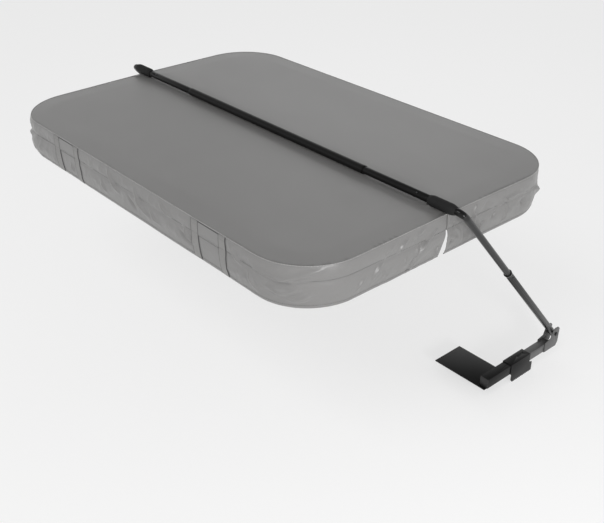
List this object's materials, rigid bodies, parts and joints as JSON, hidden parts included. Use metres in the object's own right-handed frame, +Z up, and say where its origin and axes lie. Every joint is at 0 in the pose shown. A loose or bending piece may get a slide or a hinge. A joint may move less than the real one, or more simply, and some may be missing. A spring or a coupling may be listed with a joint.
{
  "type": "spa cover with lifter",
  "caption": "Bi-fold insulated vinyl spa cover with skirts and grab handles, carried on a cross bar by a swing-back under-mount lifter.",
  "frame": {"origin": "middle of the spa's footprint, below the middle of the fold, on the level that the spa's base stands on, which is the top face of the two base plates", "axes": "+X along the fold towards the right arm, +Y from the front edge with the handles to the back where the lifter pivots, +Z up"},
  "size_m": [2.2752, 1.5843, 1.0752],
  "materials": {
    "vinyl": "satin",
    "webbing": "matte",
    "foam_core": "matte",
    "galvanised": "satin",
    "zip_tape": "matte",
    "black_tube": "satin",
    "grip_foam": "matte",
    "arm_tube": "satin",
    "base_black": "matte",
    "zinc": "satin",
    "nylon": "matte"
  },
  "bodies": {
    "base": {"base_plate_left": "base_black", "receiver_left": "base_black", "end_cap_left": "nylon", "slide_tube_left": "arm_tube", "saddle_left": "base_black", "clamp_screw_left_1": "zinc", "clamp_screw_left_2": "zinc", "clevis_left": "arm_tube", "pivot_bolt_left": "zinc", "pivot_nut_left": "zinc", "base_plate_right": "base_black", "receiver_right": "base_black", "end_cap_right": "nylon", "slide_tube_right": "arm_tube", "saddle_right": "base_black", "clamp_screw_right_1": "zinc", "clamp_screw_right_2": "zinc", "clevis_right": "arm_tube", "pivot_bolt_right": "zinc", "pivot_nut_right": "zinc"},
    "lift_frame": {"bar_centre_tube": "black_tube", "bar_tube_left": "black_tube", "grip_left": "grip_foam", "elbow_left": "arm_tube", "arm_lower_left": "arm_tube", "pivot_bush_left_outer": "nylon", "pivot_bush_left_inner": "nylon", "bar_tube_right": "black_tube", "grip_right": "grip_foam", "elbow_right": "arm_tube", "arm_lower_right": "arm_tube", "pivot_bush_right_outer": "nylon", "pivot_bush_right_inner": "nylon"},
    "rear_half": {"rear_core": "foam_core", "rear_channel": "galvanised", "rear_jacket": "vinyl", "rear_skirt": "vinyl", "rear_zip": "zip_tape", "fold_hinge": "vinyl", "hinge_seal": "vinyl"},
    "front_half": {"front_core": "foam_core", "front_channel": "galvanised", "front_jacket": "vinyl", "front_skirt": "vinyl", "front_zip": "zip_tape", "handle_left_panel": "vinyl", "handle_left_strap_a": "webbing", "handle_left_strap_b": "webbing", "handle_right_panel": "vinyl", "handle_right_strap_a": "webbing", "handle_right_strap_b": "webbing"},
    "rear_zip_slider": {"rear_zip_slider": "zinc"},
    "front_zip_slider": {"front_zip_slider": "zinc"},
    "bar_button_left": {"bar_button_left": "zinc"},
    "arm_button_left": {"arm_button_left": "zinc"},
    "bar_button_right": {"bar_button_right": "zinc"},
    "arm_button_right": {"arm_button_right": "zinc"}
  },
  "joints": [
    {"name": "lift", "type": "hinge", "parent": "base", "child": "lift_frame", "pos_m": [0, 0.825, 0.072], "axis": [-1, 0, 0], "range_deg": [0, 63]},
    {"name": "rear_hang", "type": "hinge", "parent": "lift_frame", "child": "rear_half", "pos_m": [0, 0, 1.001], "axis": [-1, 0, 0], "range_deg": [0, 27.01]},
    {"name": "front_fold", "type": "hinge", "parent": "rear_half", "child": "front_half", "pos_m": [0, 0, 1.001], "axis": [-1, 0, 0], "range_deg": [0, 180]},
    {"name": "front_zip_slide", "type": "slide", "parent": "front_half", "child": "front_zip_slider", "axis": [1, 0, 0], "range_m": [0, 1.8]},
    {"name": "rear_zip_slide", "type": "slide", "parent": "rear_half", "child": "rear_zip_slider", "axis": [-1, 0, 0], "range_m": [0, 1.8]},
    {"name": "bar_button_left_press", "type": "slide", "parent": "lift_frame", "child": "bar_button_left", "axis": [0, 0.7071, -0.7071], "range_m": [0, 0.0045], "stiffness_N_per_m": 1500, "springref_m": -0.003},
    {"name": "arm_button_left_press", "type": "slide", "parent": "lift_frame", "child": "arm_button_left", "axis": [0.9992, -0.0267, 0.0301], "range_m": [0, 0.0045], "stiffness_N_per_m": 1500, "springref_m": -0.003},
    {"name": "bar_button_right_press", "type": "slide", "parent": "lift_frame", "child": "bar_button_right", "axis": [0, 0.7071, -0.7071], "range_m": [0, 0.0045], "stiffness_N_per_m": 1500, "springref_m": -0.003},
    {"name": "arm_button_right_press", "type": "slide", "parent": "lift_frame", "child": "arm_button_right", "axis": [-0.9992, -0.0267, 0.0301], "range_m": [0, 0.0045], "stiffness_N_per_m": 1500, "springref_m": -0.003}
  ],
  "couplings": [
    {"joint": "rear_hang", "follows": "lift", "ratio": 0.42857}
  ]
}
